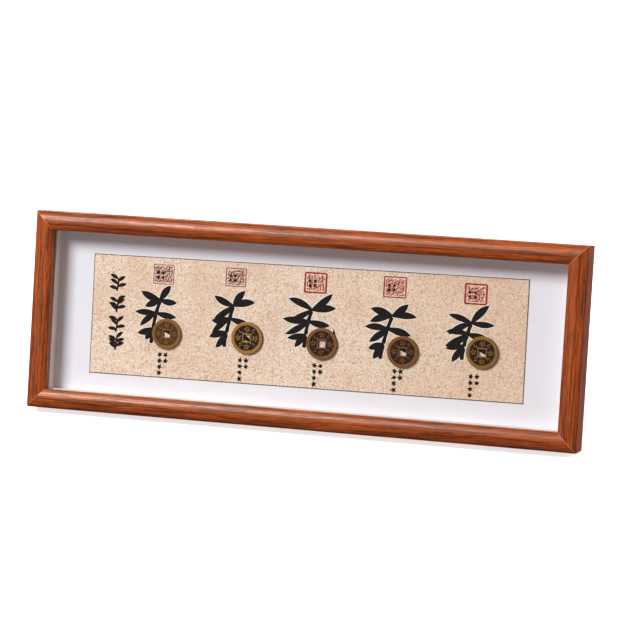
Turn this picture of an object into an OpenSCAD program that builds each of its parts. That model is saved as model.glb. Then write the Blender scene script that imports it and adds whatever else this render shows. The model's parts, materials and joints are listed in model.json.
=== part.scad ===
// Shadow-box frame that shows a row of square-holed coins and stands on a hinged strut.
// Every piece is drawn upright: x across, y from the crown of the moulding to its back, z up
// from the outer edge of the bottom rail. stand() then leans the frame back on its lower edge.

/* [Moulding] */
// Width of the frame over its rails
frame_w = 440; // [400:1:600]
// Height of the frame along its back
frame_h = 156; // [150:1:220]
// Depth of the moulding from crown to back
frame_d = 30; // [29:0.5:40]
// Width of a rail's face
face_w = 15; // [15:0.5:18]
// Height of the rounded crown above its edges
crown_rise = 3; // [2.5:0.25:4]
// Width of the narrow flat outside the crown
quirk_w = 0.8; // [0.4:0.1:1.5]
// Drop from the crown's outer edge to that flat
quirk_drop = 0.4; // [0.2:0.1:0.6]
// Depth of the lip in front of the glass
lip_depth = 6; // [4:0.5:7]
// How far the lip covers the glass
lip_cover = 5; // [4.5:0.5:5.5]
// Lean of the standing frame, in degrees from upright
lean = 13; // [11:1:15]

/* [Filling] */
// Thickness of the glass
glass_t = 2; // [1.5:0.5:3]
// Thickness of the white mount board
board_t = 5; // [3:0.5:6]
// Thickness of the back board
back_t = 3; // [2.5:0.5:4]
// Gap between the rebate and what lies in it
rebate_gap = 0.5; // [0.2:0.1:0.5]

/* [Print] */
// Width of the printed sheet
print_w = 350; // [345:1:360]
// Height of the printed sheet
print_h = 95; // [90:1:105]
// Thickness of the printed sheet
sheet_t = 0.3; // [0.2:0.1:0.5]
// Turn of the hand-placed sheet, in degrees, left end down
print_turn = 0.5; // [0:0.1:1]

/* [Coins] */
// Thickness of a coin over its rim
coin_t = 1.5; // [1.2:0.1:2]
// Width of a coin's rim
rim_w = 2.6; // [1.5:0.1:3]
// Side of the square hole
hole_w = 5.6; // [4:0.1:6.5]
// Width of the collar round the square hole
collar_w = 0.9; // [0.5:0.1:1.2]
// Depth of the field below the rim, on each face
field_depth = 0.3; // [0.1:0.05:0.4]

/* [Back] */
// Height of the hinge pin above the frame's lower edge, along the back
pin_z = 116; // [100:1:116]
// Opening of the strut against its stop, in degrees
strut_open = 22; // [20:1:22]
// Width of the strut at its foot
strut_foot_w = 66; // [50:1:90]
// Thickness of the strut
strut_t = 3; // [2.5:0.25:3]
// Reach of a turn button from its screw
button_reach = 15; // [12:1:18]

/* [Hidden] */
$fn = 96;
cut = 1;

// Moulding section
crown_chord = face_w - quirk_w;
crown_r = (crown_chord * crown_chord / 4 + crown_rise * crown_rise) / (2 * crown_rise);
crown_mid = quirk_w + crown_chord / 2;
wall_t = face_w - lip_cover;

// Layers, from the glass back to the flush back board
glass_y = crown_rise + lip_depth;
spacer_y = glass_y + glass_t;
back_y = frame_d - back_t;
board_y = back_y - board_t;
sheet_y = board_y - sheet_t;

// Outline of what lies in the rebate
fill_edge = wall_t + rebate_gap;
fill_w = frame_w - 2 * fill_edge;
fill_h = frame_h - 2 * fill_edge;

// Corner nails: two at each mitre, driven in from the back
nail_apexes = [3, 6.4];
nail_wing = 5;
nail_t = 0.6;
nail_y = frame_d - 8;
nail_end_y = frame_d - 0.2;

// Hand-placed sheet and coins: each coin has its place on the sheet and its diameter
print_place = [-1, 0.3];
coin_places = [[-111.5, -12.5], [-45.5, -11.5], [15, -12], [79.5, -14], [141.5, -10.5]];
coin_ds = [24, 25.3, 24.8, 24.5, 24.9];
dot_t = 0.4;
dot_r = 2;
dot_ring_r = 7;
dots_per_coin = 3;
coin_back_y = sheet_y - dot_t;
coin_y = coin_back_y - coin_t;

// Turn buttons and their screws: each has its place on a rail and its turn
button_w = 9;
button_t = 1;
button_gap = 0.1;
button_inset = 5;
button_side_x = 130;
button_places = [[-button_side_x, frame_h - button_inset, 180], [button_side_x, frame_h - button_inset, 180],
                 [-button_side_x, button_inset, 0], [button_side_x, button_inset, 0],
                 [button_inset - frame_w / 2, frame_h / 2, 90],
                 [frame_w / 2 - button_inset, frame_h / 2, -90]];
button_y = frame_d + button_gap;
screw_r = 1.5;
screw_fit = 0.05;
screw_depth = 8;
screw_tip = 2.5;
screw_head_r = 3.1;
screw_head_t = 1.5;
screw_head_y = button_y + button_t + button_gap;
recess_l = 3.4;
recess_w = 0.8;
recess_depth = 0.8;

// Strut hinge, drawn closed: the strut lies along the back and hangs below the pin
leaf_t = 1;
leaf_w = 36;
leaf_h = 16;
leaf_gap = 3.2;
knuckle_r = 2.4;
knuckle_gap = 0.3;
knuckle_mid_w = 14;
pin_r = 1.25;
pin_fit = 0.05;
pin_y = frame_d + 2.8;
strut_face = 1.2;
stop_play = 0.4;
stop_reach = (pin_y - frame_d - leaf_t + strut_face * cos(strut_open)) / sin(strut_open + stop_play);
rivet_r = 1.5;
rivet_head_r = 2.8;
rivet_head_t = 0.9;
rivet_x = 12.5;
rivet_rows = [6.5, 15.5];
strut_top_w = 40;

// Hanger on the top rail
hanger_w = 46;
hanger_h = 7;
hanger_t = 0.8;
hanger_tab = 7;
hanger_lift = 2;
hanger_slope = 3;
hanger_z = frame_h - 8.5;
hanger_teeth = 9;
tooth_depth = 1.8;
hanger_nail_r = 0.7;
hanger_nail_head_r = 1.9;
hanger_nail_head_t = 0.6;
hanger_nail_depth = 7;

// Footprint: the lower edge of the back stands at y = 0 before the origin is centred
foot_slant = strut_open - lean;
pin_out = (pin_y - frame_d) * cos(lean) + pin_z * sin(lean);
pin_up = pin_z * cos(lean) - (pin_y - frame_d) * sin(lean);
foot_out = pin_out + strut_face * cos(foot_slant) + (pin_up + strut_face * sin(foot_slant)) * tan(foot_slant);
crown_out = (crown_r - frame_d) * cos(lean) + crown_mid * sin(lean) - crown_r;
origin_out = (foot_out + crown_out) / 2;

// Leans an upright piece back and puts the origin under the middle of the object's box
module stand() {
    translate([0, -origin_out, 0]) rotate([-lean, 0, 0]) translate([0, -frame_d, 0]) children();
}

// Swings a piece out from the back, about the hinge pin
module swing_out() {
    translate([0, pin_y, pin_z]) rotate([strut_open, 0, 0]) translate([0, -pin_y, -pin_z]) children();
}

// Extrudes an x-z outline from y0 back to y1
module slab(y0, y1) {
    translate([0, y1, 0]) rotate([90, 0, 0]) linear_extrude(y1 - y0) children();
}

// A flat strip given by its corner, width and height
module strip(x, z, w, h, y0, y1) {
    slab(y0, y1) translate([x, z]) square([w, h]);
}

// Section of the moulding: crown, lip and the wall behind them
module moulding_section() {
    intersection() {
        translate([crown_mid, crown_r]) circle(crown_r);
        translate([quirk_w, -cut]) square([crown_chord, crown_rise + cut + quirk_drop]);
    }
    translate([quirk_w, crown_rise + quirk_drop / 2]) square([crown_chord, lip_depth - quirk_drop / 2]);
    translate([0, crown_rise + quirk_drop]) square([wall_t, frame_d - crown_rise - quirk_drop]);
}

// Bottom rail with mitred ends
module long_rail() {
    intersection() {
        rotate([0, -90, 0]) linear_extrude(frame_w, center = true) moulding_section();
        slab(-cut, frame_d + cut)
            polygon([[-frame_w / 2, 0], [frame_w / 2, 0],
                     [frame_w / 2 - face_w, face_w], [face_w - frame_w / 2, face_w]]);
    }
}

// Left rail with mitred ends
module short_rail() {
    intersection() {
        translate([-frame_w / 2, 0, 0]) linear_extrude(frame_h) moulding_section();
        slab(-cut, frame_d + cut)
            polygon([[-frame_w / 2, 0], [face_w - frame_w / 2, face_w],
                     [face_w - frame_w / 2, frame_h - face_w], [-frame_w / 2, frame_h]]);
    }
}

// Turns a piece of the bottom rail into one of the top rail
module flip_up() {
    translate([0, 0, frame_h]) mirror([0, 0, 1]) children();
}

// V-shaped nails of one corner, wings along the two rails, from nail_y back to end_y
module corner_nails(end_y) {
    for (apex = nail_apexes)
        slab(nail_y, end_y) translate([apex - frame_w / 2, apex]) {
            square([nail_wing, nail_t]);
            square([nail_t, nail_wing]);
        }
}

module all_corner_nails(end_y) {
    corner_nails(end_y);
    mirror([1, 0, 0]) corner_nails(end_y);
    flip_up() {
        corner_nails(end_y);
        mirror([1, 0, 0]) corner_nails(end_y);
    }
}

// Straight holes for the button screws, a little wider than the screws
module screw_holes() {
    for (place = button_places)
        translate([place[0], 0, place[1]])
            slab(frame_d - screw_depth - cut, frame_d + cut) circle(screw_r + screw_fit);
}

module hanger_nail_holes() {
    for (side = [-1, 1])
        translate([side * (hanger_w - hanger_tab) / 2, 0, hanger_z + hanger_h / 2])
            slab(frame_d - hanger_nail_depth, frame_d + cut) circle(hanger_nail_r + screw_fit);
}

// Everything that is driven into the rails
module fixing_holes() {
    all_corner_nails(frame_d + cut);
    screw_holes();
    hanger_nail_holes();
}

// Places x-z outlines on the sheet, turned with it
module on_sheet() {
    translate([print_place[0], 0, frame_h / 2 + print_place[1]]) rotate([0, -print_turn, 0]) children();
}

// Cash coin: raised rim, square hole with a collar, sunk field on both faces
module coin(d) {
    difference() {
        slab(coin_y, coin_back_y) difference() {
            circle(d / 2);
            square(hole_w, center = true);
        }
        for (face_y = [coin_y - cut, coin_back_y - field_depth])
            slab(face_y, face_y + field_depth + cut) difference() {
                circle(d / 2 - rim_w);
                square(hole_w + 2 * collar_w, center = true);
            }
    }
}

module placed_coin(i) {
    color("darkgoldenrod") stand() on_sheet()
        translate([coin_places[i][0], 0, coin_places[i][1]]) coin(coin_ds[i]);
}

// Round-ended plate that turns about its screw, arm upwards
module button_plate() {
    slab(button_y, button_y + button_t) difference() {
        union() {
            circle(button_w / 2);
            translate([-button_w / 2, 0]) square([button_w, button_reach - button_w / 2]);
            translate([0, button_reach - button_w / 2]) circle(button_w / 2);
        }
        circle(screw_r + screw_fit);
    }
}

module placed_button(i) {
    color("lightgoldenrodyellow") stand() translate([button_places[i][0], 0, button_places[i][1]])
        rotate([0, button_places[i][2], 0]) button_plate();
}

// Pan-head screw with a cross recess
module button_screw() {
    difference() {
        slab(screw_head_y, screw_head_y + screw_head_t) circle(screw_head_r);
        slab(screw_head_y + screw_head_t - recess_depth, screw_head_y + screw_head_t + cut) {
            square([recess_l, recess_w], center = true);
            square([recess_w, recess_l], center = true);
        }
    }
    slab(frame_d - screw_depth + screw_tip, screw_head_y) circle(screw_r);
    translate([0, frame_d - screw_depth + screw_tip, 0]) rotate([90, 0, 0])
        cylinder(h = screw_tip, r1 = screw_r, r2 = screw_r / 4);
}

// Low round-headed rivet whose head sits on y = head_y and whose shank is shank_l long
module rivet(head_y, shank_l) {
    slab(head_y - shank_l, head_y) circle(rivet_r);
    translate([0, head_y, 0]) rotate([-90, 0, 0]) cylinder(h = rivet_head_t, r1 = rivet_head_r, r2 = rivet_head_r / 2);
}

// Runs its child at each rivet place, above or below the pin
module at_rivets(side) {
    for (x = [-rivet_x, rivet_x])
        for (row = rivet_rows)
            translate([x, 0, pin_z + side * row]) children();
}

// Rod along x about the pin's axis, from x0 to x1
module pin_rod(r, x0, x1) {
    translate([x0, pin_y, pin_z]) rotate([0, 90, 0]) cylinder(h = x1 - x0, r = r);
}

// Knuckle with the web that ties it to its leaf: side 1 is the back leaf, -1 the strut leaf
module knuckle(x0, x1, side) {
    pin_rod(knuckle_r, x0, x1);
    web_y = side > 0 ? frame_d : pin_y;
    web_d = side > 0 ? pin_y - frame_d : strut_face + leaf_t;
    web_z = side > 0 ? pin_z : pin_z - leaf_gap;
    translate([x0, web_y, web_z]) cube([x1 - x0, web_d, leaf_gap]);
}

module pin_bore() {
    pin_rod(pin_r + pin_fit, -leaf_w / 2 - cut, leaf_w / 2 + cut);
}

// Strut outline: a taper with a rounded foot, below the hinge
module strut_blank() {
    slab(pin_y + strut_face - strut_t, pin_y + strut_face) difference() {
        polygon([[-strut_top_w / 2, pin_z - leaf_gap], [strut_top_w / 2, pin_z - leaf_gap],
                 [strut_foot_w / 2, -face_w], [-strut_foot_w / 2, -face_w]]);
        for (x = [-rivet_x, rivet_x])
            for (row = rivet_rows)
                translate([x, pin_z - row]) circle(rivet_r + screw_fit);
    }
}

module top_rail() {
    color("sienna") stand() difference() {
        flip_up() long_rail();
        fixing_holes();
    }
}

module bottom_rail() {
    color("sienna") stand() difference() {
        long_rail();
        fixing_holes();
    }
}

module left_rail() {
    color("sienna") stand() difference() {
        short_rail();
        fixing_holes();
    }
}

module right_rail() {
    color("sienna") stand() difference() {
        mirror([1, 0, 0]) short_rail();
        fixing_holes();
    }
}

module corner_v_nails() {
    color("silver") stand() all_corner_nails(nail_end_y);
}

module glass_pane() {
    color("lightcyan", 0.3) stand() strip(-fill_w / 2, fill_edge, fill_w, fill_h, glass_y, spacer_y);
}

module bottom_spacer() {
    color("white") stand() strip(-fill_w / 2, fill_edge, fill_w, face_w - fill_edge, spacer_y, board_y);
}

module top_spacer() {
    color("white") stand() flip_up()
        strip(-fill_w / 2, fill_edge, fill_w, face_w - fill_edge, spacer_y, board_y);
}

module side_spacer() {
    strip(-fill_w / 2, face_w, face_w - fill_edge, frame_h - 2 * face_w, spacer_y, board_y);
}

module left_spacer() {
    color("white") stand() side_spacer();
}

module right_spacer() {
    color("white") stand() mirror([1, 0, 0]) side_spacer();
}

module mount_board() {
    color("ghostwhite") stand() strip(-fill_w / 2, fill_edge, fill_w, fill_h, board_y, back_y);
}

module printed_sheet() {
    color("wheat") stand() on_sheet() slab(sheet_y, board_y) square([print_w, print_h], center = true);
}

module coin_glue_dots() {
    color("ivory") stand() on_sheet()
        for (place = coin_places)
            translate([place[0], 0, place[1]])
                for (i = [0:dots_per_coin - 1])
                    rotate([0, i * 360 / dots_per_coin, 0]) translate([0, 0, dot_ring_r])
                        slab(coin_back_y, sheet_y) circle(dot_r);
}

module back_board() {
    color("burlywood") stand() difference() {
        strip(-fill_w / 2, fill_edge, fill_w, fill_h, back_y, frame_d);
        at_rivets(1) slab(back_y - cut, frame_d + cut) circle(rivet_r + screw_fit);
    }
}

module turn_button_screws() {
    color("silver") stand()
        for (place = button_places)
            translate([place[0], 0, place[1]]) button_screw();
}

module hinge_back_leaf() {
    color("silver") stand() difference() {
        union() {
            strip(-leaf_w / 2, pin_z + leaf_gap, leaf_w, leaf_h, frame_d, frame_d + leaf_t);
            knuckle(-leaf_w / 2, -knuckle_mid_w / 2 - knuckle_gap, 1);
            knuckle(knuckle_mid_w / 2 + knuckle_gap, leaf_w / 2, 1);
        }
        pin_bore();
        at_rivets(1) slab(frame_d - cut, frame_d + leaf_t + cut) circle(rivet_r + screw_fit);
    }
}

module hinge_back_rivets() {
    color("silver") stand() at_rivets(1) rivet(frame_d + leaf_t, leaf_t + back_t);
}

module hinge_pin() {
    color("silver") stand() pin_rod(pin_r, -leaf_w / 2, leaf_w / 2);
}

// The strut leaf's middle tongue runs on above the pin and stops against the back leaf
module hinge_strut_leaf() {
    leaf_y = pin_y + strut_face;
    color("silver") stand() swing_out() difference() {
        union() {
            strip(-leaf_w / 2, pin_z - leaf_gap - leaf_h, leaf_w, leaf_h, leaf_y, leaf_y + leaf_t);
            strip(-knuckle_mid_w / 2, pin_z - leaf_gap, knuckle_mid_w, leaf_gap + stop_reach, leaf_y, leaf_y + leaf_t);
            knuckle(-knuckle_mid_w / 2, knuckle_mid_w / 2, -1);
        }
        pin_bore();
        at_rivets(-1) slab(leaf_y - cut, leaf_y + leaf_t + cut) circle(rivet_r + screw_fit);
    }
}

module hinge_strut_rivets() {
    color("silver") stand() swing_out() at_rivets(-1)
        rivet(pin_y + strut_face + leaf_t, leaf_t + strut_t);
}

// The foot is cut off level with the surface that the frame stands on
module easel_strut() {
    color("saddlebrown") intersection() {
        stand() swing_out() strut_blank();
        translate([-frame_w / 2, -frame_h, 0]) cube([frame_w, 2 * frame_h, frame_h]);
    }
}

// Bridge lifted off the rail between two flat tabs, with teeth cut in its lower edge
module sawtooth_hanger() {
    half = hanger_w / 2;
    step = half - hanger_tab;
    rise_end = step - hanger_slope;
    tooth_w = 2 * rise_end / hanger_teeth;
    color("silver") stand() difference() {
        translate([0, frame_d, hanger_z]) linear_extrude(hanger_h)
            polygon([[-half, 0], [-step, 0], [-rise_end, hanger_lift], [rise_end, hanger_lift],
                     [step, 0], [half, 0], [half, hanger_t], [step, hanger_t],
                     [rise_end, hanger_lift + hanger_t], [-rise_end, hanger_lift + hanger_t],
                     [-step, hanger_t], [-half, hanger_t]]);
        for (i = [0:hanger_teeth - 1])
            slab(frame_d - cut, frame_d + hanger_lift + hanger_t + cut)
                translate([(i + 0.5) * tooth_w - rise_end, hanger_z])
                    polygon([[-tooth_w / 2, -cut], [-tooth_w / 2, 0], [0, tooth_depth],
                             [tooth_w / 2, 0], [tooth_w / 2, -cut]]);
        hanger_nail_holes();
    }
}

module hanger_nails() {
    color("silver") stand()
        for (side = [-1, 1])
            translate([side * (hanger_w - hanger_tab) / 2, 0, hanger_z + hanger_h / 2]) {
                slab(frame_d - hanger_nail_depth, frame_d + hanger_t) circle(hanger_nail_r);
                slab(frame_d + hanger_t, frame_d + hanger_t + hanger_nail_head_t) circle(hanger_nail_head_r);
            }
}

top_rail();
bottom_rail();
left_rail();
right_rail();
corner_v_nails();
glass_pane();
top_spacer();
bottom_spacer();
left_spacer();
right_spacer();
mount_board();
printed_sheet();
placed_coin(0);  // coin_1
placed_coin(1);  // coin_2
placed_coin(2);  // coin_3
placed_coin(3);  // coin_4
placed_coin(4);  // coin_5
coin_glue_dots();
back_board();
placed_button(0);  // turn_button_top_left
placed_button(1);  // turn_button_top_right
placed_button(2);  // turn_button_bottom_left
placed_button(3);  // turn_button_bottom_right
placed_button(4);  // turn_button_left
placed_button(5);  // turn_button_right
turn_button_screws();
hinge_back_leaf();
hinge_back_rivets();
hinge_pin();
hinge_strut_leaf();
hinge_strut_rivets();
easel_strut();
sawtooth_hanger();
hanger_nails();
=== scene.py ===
"""Looks of a shadow-box frame that shows five square-holed coins and stands on a hinged strut.

Pieces are modelled upright: x across, y from the crown of the moulding to its back, z up from
the frame's lower outer edge. UPRIGHT then leans them back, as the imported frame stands.
"""
import json
import math
import random
from contextlib import contextmanager

import bmesh
import bpy
from bpy.props import FloatProperty, FloatVectorProperty, IntProperty, PointerProperty
from bpy.types import NodeSocket, Operator, Panel, PropertyGroup
from mathutils import Matrix, Vector


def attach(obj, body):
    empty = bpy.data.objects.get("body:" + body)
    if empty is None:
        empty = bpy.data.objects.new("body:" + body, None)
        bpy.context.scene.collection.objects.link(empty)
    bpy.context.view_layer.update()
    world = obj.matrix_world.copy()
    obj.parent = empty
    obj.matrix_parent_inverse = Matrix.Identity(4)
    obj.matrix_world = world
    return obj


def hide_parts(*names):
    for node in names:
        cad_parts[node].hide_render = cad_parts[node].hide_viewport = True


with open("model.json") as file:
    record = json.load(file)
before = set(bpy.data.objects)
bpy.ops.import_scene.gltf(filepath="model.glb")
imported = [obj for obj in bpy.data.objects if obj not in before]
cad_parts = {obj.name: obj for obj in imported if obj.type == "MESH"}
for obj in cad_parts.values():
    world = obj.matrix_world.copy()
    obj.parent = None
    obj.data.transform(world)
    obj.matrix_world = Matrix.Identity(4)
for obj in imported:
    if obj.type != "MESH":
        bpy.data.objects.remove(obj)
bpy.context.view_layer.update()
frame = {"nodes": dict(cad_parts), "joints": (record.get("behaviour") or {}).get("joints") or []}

bl_info = {
    "name": "Coin display frame",
    "version": (1, 0, 0),
    "blender": (4, 5, 0),
    "location": "3D View > Sidebar > Coin Frame",
    "description": "Builds the looks of a shadow-box coin frame round its CAD frame",
    "category": "Add Mesh",
}

MM = 0.001
TINY = 1e-6
nodes = frame["nodes"]


# --- places taken from the frame


def joint(name):
    return next(row for row in frame["joints"] if row["name"] == name)


def extent(name, to_local):
    """Lowest and highest corner of a CAD node after to_local."""
    points = [to_local @ v.co for v in nodes[name].data.vertices]
    low = Vector([min(p[i] for p in points) for i in range(3)])
    high = Vector([max(p[i] for p in points) for i in range(3)])
    return low, high


back_axis = Vector(joint("turn_button_left_pivot")["axis"])
LEAN = math.atan2(-back_axis.z, back_axis.y)
rail_low, rail_high = extent("bottom_rail", Matrix.Rotation(LEAN, 4, "X"))
FRAME_D = rail_high.y - rail_low.y
heel = min((v.co for v in nodes["bottom_rail"].data.vertices), key=lambda co: co.z)
UPRIGHT = (
    Matrix.Translation((0, heel.y, heel.z))
    @ Matrix.Rotation(-LEAN, 4, "X")
    @ Matrix.Translation((0, -FRAME_D, 0))
)


def upright_box(name):
    """Lowest and highest corner of a CAD node in the upright frame."""
    return extent(name, UPRIGHT.inverted())


FRAME_W = rail_high.x - rail_low.x
FRAME_H = upright_box("top_rail")[1].z
FACE_W = upright_box("bottom_rail")[1].z
GLASS_Y = upright_box("glass_pane")[0].y
FILL_EDGE = upright_box("glass_pane")[0].z

sheet_corners = [UPRIGHT.inverted() @ v.co for v in nodes["printed_sheet"].data.vertices]
sheet_left = min(sheet_corners, key=lambda p: p.x + p.z)
sheet_right = max(sheet_corners, key=lambda p: p.x - p.z)
sheet_top = max(sheet_corners, key=lambda p: p.z - p.x)
SHEET_W = math.hypot(sheet_right.x - sheet_left.x, sheet_right.z - sheet_left.z)
SHEET_H = math.hypot(sheet_top.x - sheet_left.x, sheet_top.z - sheet_left.z)
SHEET_TURN = math.atan2(sheet_right.z - sheet_left.z, sheet_right.x - sheet_left.x)
SHEET_Y = min(p.y for p in sheet_corners)
SHEET_BACK_Y = max(p.y for p in sheet_corners)
sheet_low, sheet_high = upright_box("printed_sheet")
ON_SHEET = (
    UPRIGHT
    @ Matrix.Translation(((sheet_low.x + sheet_high.x) / 2, 0, (sheet_low.z + sheet_high.z) / 2))
    @ Matrix.Rotation(-SHEET_TURN, 4, "Y")
)
COINS = ["coin_1", "coin_2", "coin_3", "coin_4", "coin_5"]
BUTTONS = ["top_left", "top_right", "bottom_left", "bottom_right", "left", "right"]


def linear(red, green, blue):
    """A colour given in the usual 0 to 255 steps, as the shaders want it."""
    steps = [c / 255 for c in (red, green, blue)]
    return tuple(c / 12.92 if c < 0.04045 else ((c + 0.055) / 1.055) ** 2.4 for c in steps)


# --- settings


def number_setting(name, description, default, **more):
    return FloatProperty(name=name, description=description, default=default, **more)


def length_setting(name, description, default):
    return number_setting(name, description, default, min=0, unit="LENGTH")


def power_setting(name, description, default):
    return number_setting(name, description, default, min=0, unit="POWER")


def colour_setting(name, description, default):
    return FloatVectorProperty(
        name=name, description=description, default=default, min=0, max=1, size=3, subtype="COLOR"
    )


class RailSettings(PropertyGroup):
    crown_rise: length_setting("Crown rise", "Height of the crown above its edges", 3 * MM)
    quirk: length_setting("Quirk width", "Narrow flat outside the crown", 0.8 * MM)
    quirk_drop: length_setting("Quirk drop", "Drop from the crown to that flat", 0.4 * MM)
    rebate_gap: length_setting("Rebate gap", "Gap round what lies in the rebate", 0.5 * MM)
    arris: length_setting("Arris", "Softening of the long edges", 0.35 * MM)
    seam: length_setting("Mitre seam", "Worn edge at each mitre", 0.2 * MM)
    fold: length_setting("Folded wrap", "Wrap that is folded onto the back", 3 * MM)
    steps: IntProperty(name="Crown steps", description="Flats across the crown", default=18, min=4)
    wood_dark: colour_setting("Vein", "Dark veins of the wood wrap", linear(48, 16, 4))
    wood_mid: colour_setting("Wood", "Body of the wood wrap", linear(150, 62, 16))
    wood_light: colour_setting("Light streak", "Light streaks of the wood wrap", linear(190, 88, 27))
    core: colour_setting("Core", "Raw fibre core under the wrap", linear(206, 170, 128))
    seam_colour: colour_setting("Seam", "Wrap worn through at the mitres", linear(226, 150, 100))


class FillingSettings(PropertyGroup):
    edge: length_setting("Edge", "Softening of glass and board edges", 0.25 * MM)
    board: colour_setting("Mount", "White mount board", linear(243, 238, 249))
    spacer: colour_setting("Spacer", "White spacer strips", linear(236, 226, 220))
    glass_tint: colour_setting("Glass", "Tint of the glass", linear(252, 254, 253))
    back: colour_setting("Back board", "Fibreboard of the back and the strut", linear(164, 120, 78))


class PrintSettings(PropertyGroup):
    border: length_setting("Border line", "Width of the line round the sheet", 0.6 * MM)
    halo: length_setting("Halo", "Pale edge round the large ink sprays", 0.7 * MM)
    ink_body: length_setting("Ink body", "Thickness of an ink mark", 0.03 * MM)
    paper: colour_setting("Paper", "Ground of the printed sheet", linear(255, 239, 222))
    pattern: colour_setting("Pattern", "Fine scrolls on the ground", linear(220, 168, 140))
    ink: colour_setting("Ink", "Black ink", linear(10, 6, 8))
    seal_red: colour_setting("Seal red", "Strong red of the seals", linear(158, 4, 24))
    seal_pink: colour_setting("Seal pink", "Faded red of the seals", linear(116, 36, 44))


class CoinSettings(PropertyGroup):
    rim: length_setting("Rim", "Width of a coin's rim", 2.6 * MM)
    hole: length_setting("Hole", "Side of the square hole", 5.6 * MM)
    collar: length_setting("Collar", "Width of the collar round the hole", 0.9 * MM)
    field: length_setting("Field", "Depth of the field below the rim", 0.3 * MM)
    relief: length_setting("Relief", "Half width of a relief stroke", 0.36 * MM)
    worn_rim: colour_setting("Coin 1 rim", "Worn warm bronze", linear(150, 102, 50))
    worn_field: colour_setting("Coin 1 field", "Worn warm bronze, in the field", linear(80, 48, 22))
    bright_rim: colour_setting("Coin 2 rim", "Bright brass", linear(174, 124, 58))
    bright_field: colour_setting("Coin 2 field", "Dark field of the brass coin", linear(22, 13, 10))
    red_rim: colour_setting("Coin 3 rim", "Dark reddish bronze", linear(146, 94, 52))
    red_field: colour_setting("Coin 3 field", "Reddish field", linear(30, 15, 12))
    brown_rim: colour_setting("Coin 4 rim", "Brown bronze", linear(142, 92, 46))
    brown_field: colour_setting("Coin 4 field", "Brown field", linear(34, 18, 12))
    olive_rim: colour_setting("Coin 5 rim", "Olive brass", linear(158, 114, 52))
    olive_field: colour_setting("Coin 5 field", "Dark field of the olive coin", linear(26, 15, 11))


class HardwareSettings(PropertyGroup):
    edge: length_setting("Edge", "Softening of sheet-metal edges", 0.2 * MM)
    head_dome: length_setting("Head dome", "Rounding of the screw heads", 0.8 * MM)
    plate: colour_setting("Plated steel", "Yellowish plating", linear(234, 214, 178))
    steel: colour_setting("Hinge steel", "Dull steel of hinge and nails", linear(176, 174, 170))


class StageSettings(PropertyGroup):
    azimuth: number_setting("Azimuth", "Camera's turn to the right", math.radians(15.42), subtype="ANGLE")
    elevation: number_setting("Elevation", "Camera's height", math.radians(15.57), subtype="ANGLE")
    distance: length_setting("Distance", "Camera to the point it looks at", 1.9086)
    aim_x: number_setting("Aim right", "Aim point from the middle", 7.8 * MM, unit="LENGTH")
    aim_y: number_setting("Aim back", "Aim point from the middle", 6.1 * MM, unit="LENGTH")
    aim_z: number_setting("Aim up", "Aim point from the middle", 13.9 * MM, unit="LENGTH")
    lens: number_setting("Lens", "Focal length in millimetres", 144.27, min=1)
    key_light: power_setting("Key light", "Power of the key light", 124)
    fill_light: power_setting("Fill light", "Power of the fill light", 44)
    back_light: power_setting("Back light", "Power of the back light", 58)
    ambient: number_setting("Ambient", "Strength of the world light", 0.24, min=0)
    ambient_colour: colour_setting("Ambient colour", "Colour of the world light", (1, 0.77, 0.73))
    floor: colour_setting("Floor", "Pale floor", linear(250, 250, 250))


# --- modelling


def deselect_all():
    bpy.ops.object.select_all(action="DESELECT")


def only(obj):
    """Makes obj the one selected and active object."""
    deselect_all()
    obj.select_set(True)
    bpy.context.view_layer.objects.active = obj


def block(low, high):
    """A block between two corners, with its place in its mesh."""
    deselect_all()
    low, high = Vector(low), Vector(high)
    bpy.ops.mesh.primitive_cube_add(size=1, location=(low + high) / 2, scale=high - low)
    bpy.ops.object.transform_apply()
    return bpy.context.object


def rod(x, z, radius, front, back, sides=64):
    """A round rod along y, with its place in its mesh."""
    deselect_all()
    place = {"location": (x, (front + back) / 2, z), "rotation": (math.pi / 2, 0, 0)}
    bpy.ops.mesh.primitive_cylinder_add(vertices=sides, radius=radius, depth=back - front, **place)
    bpy.ops.object.transform_apply()
    return bpy.context.object


@contextmanager
def editing(obj):
    """Edit mode on obj alone, with nothing selected."""
    only(obj)
    bpy.ops.object.mode_set(mode="EDIT")
    bpy.ops.mesh.select_all(action="DESELECT")
    yield
    bpy.ops.object.mode_set(mode="OBJECT")


def pick(kind, test):
    """Selects just the faces, edges or vertices of the edited mesh that pass the test."""
    bpy.ops.mesh.select_mode(type=kind)
    bpy.ops.mesh.select_all(action="DESELECT")
    mesh = bpy.context.edit_object.data
    shape = bmesh.from_edit_mesh(mesh)
    parts = {"FACE": shape.faces, "EDGE": shape.edges, "VERT": shape.verts}[kind]
    for part in parts:
        part.select_set(bool(test(part)))
    bmesh.update_edit_mesh(mesh)


def cut_at(place, normal, drop=False):
    """Cuts the edited mesh with a plane, and drops what is beyond it if asked."""
    bpy.ops.mesh.select_all(action="SELECT")
    bpy.ops.mesh.bisect(plane_co=place, plane_no=normal, use_fill=drop, clear_outer=drop)


def extrude(way):
    bpy.ops.mesh.extrude_region_move(TRANSFORM_OT_translate={"value": way})


def apply_modifier(obj, kind, **values):
    only(obj)
    modifier = obj.modifiers.new(kind.lower(), kind)
    for name, value in values.items():
        setattr(modifier, name, value)
    bpy.ops.object.modifier_apply(modifier=modifier.name)


def soften(obj, width, segments=2, angle=30):
    """Rounds every sharp edge and shades the rest smooth."""
    sharp = {"limit_method": "ANGLE", "angle_limit": math.radians(angle)}
    apply_modifier(obj, "BEVEL", width=width, segments=segments, **sharp)
    smooth(obj)


def smooth(obj, angle=20):
    """Shades curves smooth, and stops at bevels so that wide flat faces stay flat."""
    only(obj)
    bpy.ops.object.shade_smooth_by_angle(angle=math.radians(angle))


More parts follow.
